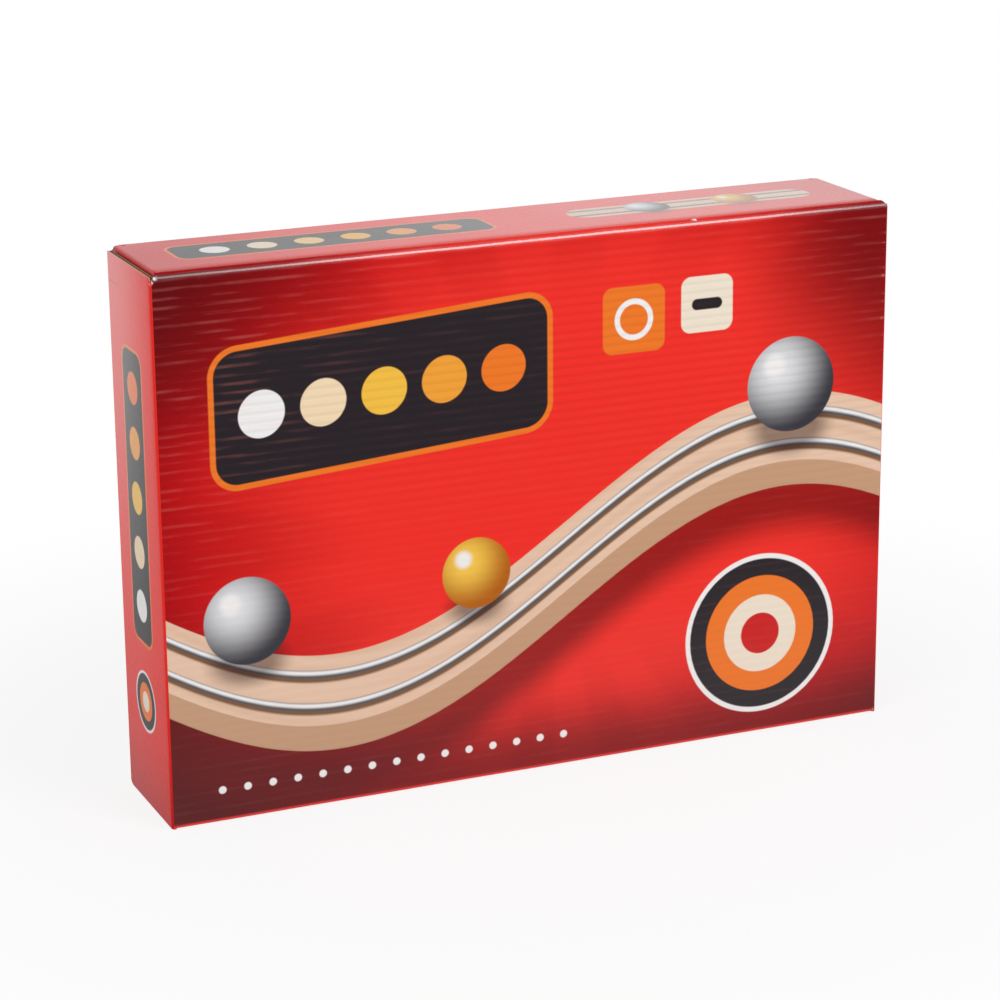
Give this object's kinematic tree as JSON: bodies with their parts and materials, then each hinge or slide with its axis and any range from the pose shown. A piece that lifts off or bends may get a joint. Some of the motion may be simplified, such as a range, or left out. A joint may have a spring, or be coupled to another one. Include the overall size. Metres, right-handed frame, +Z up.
{
  "type": "boxed marble run game",
  "caption": "Upright tuck-end carton of printed corrugated board with hinged end panels, holding a wooden marble run game with two pivoted steel rods and a steel ball.",
  "frame": {"origin": "middle of the carton's underside", "axes": "+X along the carton's width, from the left end to the right end as seen from the front; +Y from the front panel to the back panel; +Z up"},
  "size_m": [0.3, 0.055, 0.212],
  "materials": {
    "printed_board": "gloss print",
    "plain_board": "matte",
    "pale_wood": "satin",
    "dark_wood": "satin",
    "polished_steel": "polished",
    "zinc_screw": "satin",
    "black_liner": "matte",
    "paper": "matte"
  },
  "bodies": {
    "carton": {"front_panel": "printed_board", "top_panel": "printed_board", "back_panel": "printed_board", "bottom_panel": "printed_board", "glue_flap": "printed_board", "left_cradle": "plain_board", "right_cradle": "plain_board", "insert_shelf": "plain_board", "base_board": "pale_wood", "rear_plate": "pale_wood", "slot_liner": "black_liner", "rear_plate_screws": "zinc_screw", "pivot_screws": "zinc_screw", "front_plate": "pale_wood", "front_plate_screws": "zinc_screw", "rules_leaflet": "paper"},
    "left_end": {"left_end_panel": "printed_board"},
    "left_tuck": {"left_tuck_flap": "printed_board"},
    "left_upper_dust": {"left_upper_dust_flap": "printed_board"},
    "left_lower_dust": {"left_lower_dust_flap": "printed_board"},
    "right_end": {"right_end_panel": "printed_board"},
    "right_tuck": {"right_tuck_flap": "printed_board"},
    "right_upper_dust": {"right_upper_dust_flap": "printed_board"},
    "right_lower_dust": {"right_lower_dust_flap": "printed_board"},
    "upper_arm": {"upper_rod": "polished_steel", "upper_handle": "dark_wood"},
    "lower_arm": {"lower_rod": "polished_steel", "lower_handle": "dark_wood"},
    "ball": {"steel_ball": "polished_steel"}
  },
  "joints": [
    {"name": "left_end_hinge", "type": "hinge", "parent": "carton", "child": "left_end", "pos_m": [-0.1492, -0.0267, 0.106], "axis": [0, 0, 1], "range_deg": [0, 170]},
    {"name": "left_tuck_fold", "type": "hinge", "parent": "left_end", "child": "left_tuck", "pos_m": [-0.1492, 0.0248, 0.106], "axis": [0, 0, 1], "range_deg": [0, 85]},
    {"name": "left_upper_dust_fold", "type": "hinge", "parent": "carton", "child": "left_upper_dust", "pos_m": [-0.1473, 0, 0.2112], "axis": [0, 1, 0], "range_deg": [0, 90.1]},
    {"name": "left_lower_dust_fold", "type": "hinge", "parent": "carton", "child": "left_lower_dust", "pos_m": [-0.1473, 0, 0.0008], "axis": [0, -1, 0], "range_deg": [0, 90.1]},
    {"name": "right_end_hinge", "type": "hinge", "parent": "carton", "child": "right_end", "pos_m": [0.1492, -0.0267, 0.106], "axis": [0, 0, -1], "range_deg": [0, 170]},
    {"name": "right_tuck_fold", "type": "hinge", "parent": "right_end", "child": "right_tuck", "pos_m": [0.1492, 0.0248, 0.106], "axis": [0, 0, -1], "range_deg": [0, 85]},
    {"name": "right_upper_dust_fold", "type": "hinge", "parent": "carton", "child": "right_upper_dust", "pos_m": [0.1473, 0, 0.2112], "axis": [0, -1, 0], "range_deg": [0, 90.1]},
    {"name": "right_lower_dust_fold", "type": "hinge", "parent": "carton", "child": "right_lower_dust", "pos_m": [0.1473, 0, 0.0008], "axis": [0, 1, 0], "range_deg": [0, 90.1]},
    {"name": "upper_rod_pivot", "type": "hinge", "parent": "carton", "child": "upper_arm", "pos_m": [0.138, -0.00952, 0.05347], "axis": [0, 1, 0], "range_deg": [0, 6.5]},
    {"name": "lower_rod_pivot", "type": "hinge", "parent": "carton", "child": "lower_arm", "pos_m": [0.138, -0.00952, 0.04047], "axis": [0, -1, 0], "range_deg": [0, 6.5]},
    {"name": "ball_lift", "type": "slide", "parent": "carton", "child": "ball", "axis": [0, 0, 1], "range_m": [0, 0.04]}
  ],
  "couplings": [
    {"joint": "left_tuck_fold", "follows": "left_end_hinge", "ratio": 0.5},
    {"joint": "left_upper_dust_fold", "follows": "left_end_hinge", "ratio": 0.53},
    {"joint": "left_lower_dust_fold", "follows": "left_end_hinge", "ratio": 0.53},
    {"joint": "right_tuck_fold", "follows": "right_end_hinge", "ratio": 0.5},
    {"joint": "right_upper_dust_fold", "follows": "right_end_hinge", "ratio": 0.53},
    {"joint": "right_lower_dust_fold", "follows": "right_end_hinge", "ratio": 0.53}
  ]
}
